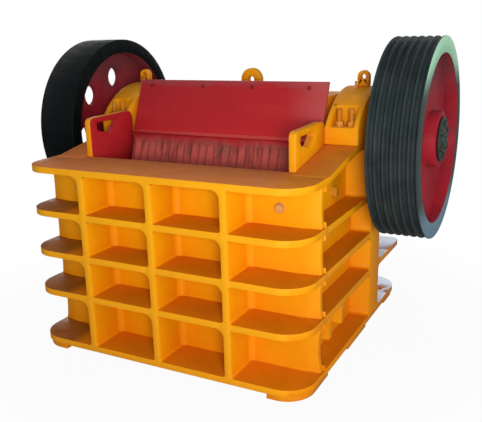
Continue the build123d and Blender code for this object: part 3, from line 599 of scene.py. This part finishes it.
for side, hand in ((-1, "left"), (1, "right")):
    low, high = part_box(hand + "_bearing_housing")
    inner, outer = (high.x, low.x) if side < 0 else (low.x, high.x)
    studs = Pieces()
    pocket_floor = seat_z + POCKET_FLOOR_RISE
    for y in (low.y + 0.046, high.y - 0.046):
        for across in (0.054, 0.110):
            foot = facing((inner + side * across, y, pocket_floor), (0, 0, 1))
            studs.stud(foot, STUD_RADIUS, STUD_LENGTH, across * 9)
    studs.finish(hand + "_housing_studs", painted_bolt, "frame")

    cover_low, cover_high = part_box(hand + "_bearing_cover")
    cover_x = cover_low.x if side < 0 else cover_high.x
    bolts = Pieces()
    for place in round_places(cover_x, COVER_BOLT_CIRCLE, 10, side, 0.2):
        bolts.bolt(place, 0.007)
    bolts.finish(hand + "_cover_bolts", painted_bolt, "frame")

    # the end cap, a flange with a boss and bolts, in the place of the plain disc
    cap_low, cap_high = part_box(hand + "_shaft_cap")
    cap_radius = (cap_high.z - cap_low.z) / 2
    cap_inner, cap_outer = (cap_high.x, cap_low.x) if side < 0 else (cap_low.x, cap_high.x)
    cap_depth = abs(cap_outer - cap_inner)
    cap = Pieces()
    cap.turned(facing((cap_inner, SHAFT_Y, SHAFT_Z), (side, 0, 0)), [
        (0, 0), (cap_radius, 0), (cap_radius, CAP_FLANGE * 0.75), (cap_radius - 0.002, CAP_FLANGE),
        (CAP_BOSS + 0.003, CAP_FLANGE), (CAP_BOSS, CAP_FLANGE + 0.002), (CAP_BOSS - 0.001, cap_depth - 0.0015),
        (CAP_BOSS - 0.003, cap_depth), (0.012, cap_depth), (0.010, cap_depth - 0.003), (0, cap_depth - 0.003),
    ], 72)
    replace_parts(cap.finish(hand + "_bolted_cap", black, "rotor"), hand + "_shaft_cap")
    bolts = Pieces()
    for i, place in enumerate(round_places(cap_inner + side * CAP_FLANGE, CAP_BOLT_CIRCLE, 6, side, 0.5)):
        bolts.washer(place, 0.0165, 0.0015)
        bolts.nut(place @ Matrix.Translation((0, 0, 0.0015)), 0.0135, 0.0070, i * 0.7)
    bolts.finish(hand + "_cap_bolts", cap_bolt, "rotor")

    nipple = Pieces()
    top = facing((inner + side * 0.060, SHAFT_Y - 0.060, arch_top - 0.0065), (0, 0, 1))
    nipple.turned(top, [
        (0, 0), (0.009, 0), (0.009, 0.012), (0.005, 0.016), (0.005, 0.024), (0.0065, 0.028), (0.003, 0.034), (0, 0.034),
    ], 16)
    nipple.finish(hand + "_grease_nipple", painted_bolt, "frame")

# Bolts of the cheek plates in the side walls' top pockets
cheek_bolts = Pieces()
for side in (-1, 1):
    for y, z in ((FRONT_Y + 0.330, 0.800), (FRONT_Y + 0.577, 0.737), (FRONT_Y + 0.450, 0.600)):
        cheek_bolts.bolt(facing((side * 0.590, y, z), (side, 0, 0)), 0.013, y * 7)
cheek_bolts.finish("cheek_plate_bolts", painted_bolt, "frame")

# Bolts of the fixed jaw plate in the front wall's outer pockets
jaw_bolts = Pieces()
for x in (-0.509, 0.509):
    jaw_bolts.bolt(facing((x, FRONT_Y + 0.186, 0.751), (0, -1, 0)), 0.011, x)
jaw_bolts.finish("fixed_jaw_bolts", pale_bolt, "frame")

# Socket screws of the guard plate, standing a little proud of its slope
GUARD_RISE = 0.243
GUARD_LEAN = 0.097
guard_edge = Vector((0, guard_high.y - GUARD_LEAN - 0.016 * GUARD_RISE / math.hypot(GUARD_RISE, GUARD_LEAN), 0.957))
guard_run = Vector((0, GUARD_LEAN, GUARD_RISE)).normalized()
guard_out = Vector((0, -guard_run.z, guard_run.y))
screws = Pieces()
for x in (-0.44, -0.14, 0.13, 0.42):
    place = facing(Vector((x, 0, 0)) + guard_edge + guard_run * 0.232, guard_out)
    screws.turned(place, [
        (0, 0), (0.0105, 0), (0.0098, 0.003), (0.006, 0.005), (0.004, 0.005), (0.004, 0.002), (0, 0.002),
    ], 20)
screws.finish("guard_screws", dark_red, "swing_jaw")

# Springs, lock nuts and threads of the tension rods
SPRING_RADIUS = 0.040
SPRING_WIRE = 0.0068
SPRING_SEAT = 0.016
SPRING_TURNS = 7.5
rods_low, rods_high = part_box("tension_rods")
nuts_low, nuts_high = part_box("rod_nuts")
rear_plate = rear_high.y - 0.186
rod_z = (rods_low.z + rods_high.z) / 2
springs, threads = Pieces(), Pieces()
for x in (-0.175, 0.175):
    seat = facing((x, rear_plate + SPRING_SEAT, rod_z), (0, 1, 0))
    springs.coil(seat, SPRING_RADIUS, SPRING_WIRE, nuts_low.y - rear_plate - SPRING_SEAT, SPRING_TURNS)
    threads.nut(facing((x, nuts_high.y + 0.0005, rod_z), (0, 1, 0)), 0.0275, 0.020, 0.5)
    start = nuts_high.y + 0.0205
    threads.thread(facing((x, start, rod_z), (0, 1, 0)), 0.0172, rods_high.y - start - 0.003, 0.0035)
springs.finish("tension_springs", dark_bolt, "swing_jaw")
threads.finish("rod_lock_nuts", steel, "swing_jaw")


# ---- stage and light

def make_stage():
    mesh = bpy.data.meshes.new("floor")
    mesh.from_pydata([(-40, -40, 0), (40, -40, 0), (40, 40, 0), (-40, 40, 0)], [], [(0, 1, 2, 3)])
    floor = bpy.data.objects.new("floor", mesh)
    scene.collection.objects.link(floor)
    material = bpy.data.materials.new("floor")
    material.use_nodes = True
    tree = material.node_tree
    shader = tree.nodes["Principled BSDF"]
    shader.inputs["Base Color"].default_value = (0.5, 0.5, 0.5, 1)
    shader.inputs["Roughness"].default_value = 0.9
    glow = tree.nodes.new("ShaderNodeEmission")
    glow.inputs["Color"].default_value = (1, 1, 1, 1)
    seen_by_camera = tree.nodes.new("ShaderNodeLightPath")
    place = tree.nodes.new("ShaderNodeNewGeometry")
    distance = tree.nodes.new("ShaderNodeVectorMath")
    distance.operation = "LENGTH"
    tree.links.new(place.outputs["Position"], distance.inputs[0])
    whiteness = tree.nodes.new("ShaderNodeMapRange")
    whiteness.interpolation_type = "SMOOTHSTEP"
    for socket, number in (("From Min", 1.0), ("From Max", 1.9), ("To Min", 0.95), ("To Max", 1.0)):
        whiteness.inputs[socket].default_value = number
    tree.links.new(distance.outputs["Value"], whiteness.inputs["Value"])
    share = tree.nodes.new("ShaderNodeMath")
    share.operation = "MULTIPLY"
    tree.links.new(whiteness.outputs["Result"], share.inputs[1])
    blend = tree.nodes.new("ShaderNodeMixShader")
    tree.links.new(seen_by_camera.outputs["Is Camera Ray"], share.inputs[0])
    tree.links.new(share.outputs[0], blend.inputs[0])
    tree.links.new(shader.outputs[0], blend.inputs[1])
    tree.links.new(glow.outputs[0], blend.inputs[2])
    tree.links.new(blend.outputs[0], tree.nodes["Material Output"].inputs["Surface"])
    mesh.materials.append(material)

    world = scene.world or bpy.data.worlds.new("world")
    scene.world = world
    world.use_nodes = True
    tree = world.node_tree
    tree.nodes.clear()
    seen = tree.nodes.new("ShaderNodeBackground")
    seen.inputs["Color"].default_value = (1, 1, 1, 1)
    lit = tree.nodes.new("ShaderNodeBackground")
    lit.inputs["Color"].default_value = (0.97, 0.98, 1.0, 1)
    lit.inputs["Strength"].default_value = 0.28
    path = tree.nodes.new("ShaderNodeLightPath")
    camera_or_glossy = tree.nodes.new("ShaderNodeMath")
    camera_or_glossy.operation = "MAXIMUM"
    camera_glossy_or_clear = tree.nodes.new("ShaderNodeMath")
    camera_glossy_or_clear.operation = "MAXIMUM"
    blend = tree.nodes.new("ShaderNodeMixShader")
    out = tree.nodes.new("ShaderNodeOutputWorld")
    tree.links.new(path.outputs["Is Camera Ray"], camera_or_glossy.inputs[0])
    tree.links.new(path.outputs["Is Glossy Ray"], camera_or_glossy.inputs[1])
    tree.links.new(camera_or_glossy.outputs[0], camera_glossy_or_clear.inputs[0])
    tree.links.new(path.outputs["Is Transmission Ray"], camera_glossy_or_clear.inputs[1])
    tree.links.new(camera_glossy_or_clear.outputs[0], blend.inputs[0])
    tree.links.new(lit.outputs[0], blend.inputs[1])
    tree.links.new(seen.outputs[0], blend.inputs[2])
    tree.links.new(blend.outputs[0], out.inputs["Surface"])


def area_light(name, place, target, size, power, colour):
    data = bpy.data.lights.new(name, "AREA")
    data.shape = "DISK"
    data.size = size
    data.energy = power
    data.color = colour
    light = bpy.data.objects.new(name, data)
    light.location = place
    light.rotation_euler = (Vector(target) - Vector(place)).to_track_quat("-Z", "Y").to_euler()
    scene.collection.objects.link(light)


make_stage()
area_light("key", (2.2, FRONT_Y - 2.9, 1.35), (0, -0.3, 0.8), 1.2, 104, (1.0, 0.99, 0.96))
area_light("fill", (4.2, -1.4, 0.7), (0.5, 0.1, 0.6), 1.6, 28, (1.0, 0.98, 0.95))
area_light("rear_fill", (-3.4, 3.2, 1.1), (0, 0.2, 0.6), 2.0, 95, (1.0, 0.99, 0.97))
scene.view_settings.view_transform = "Standard"
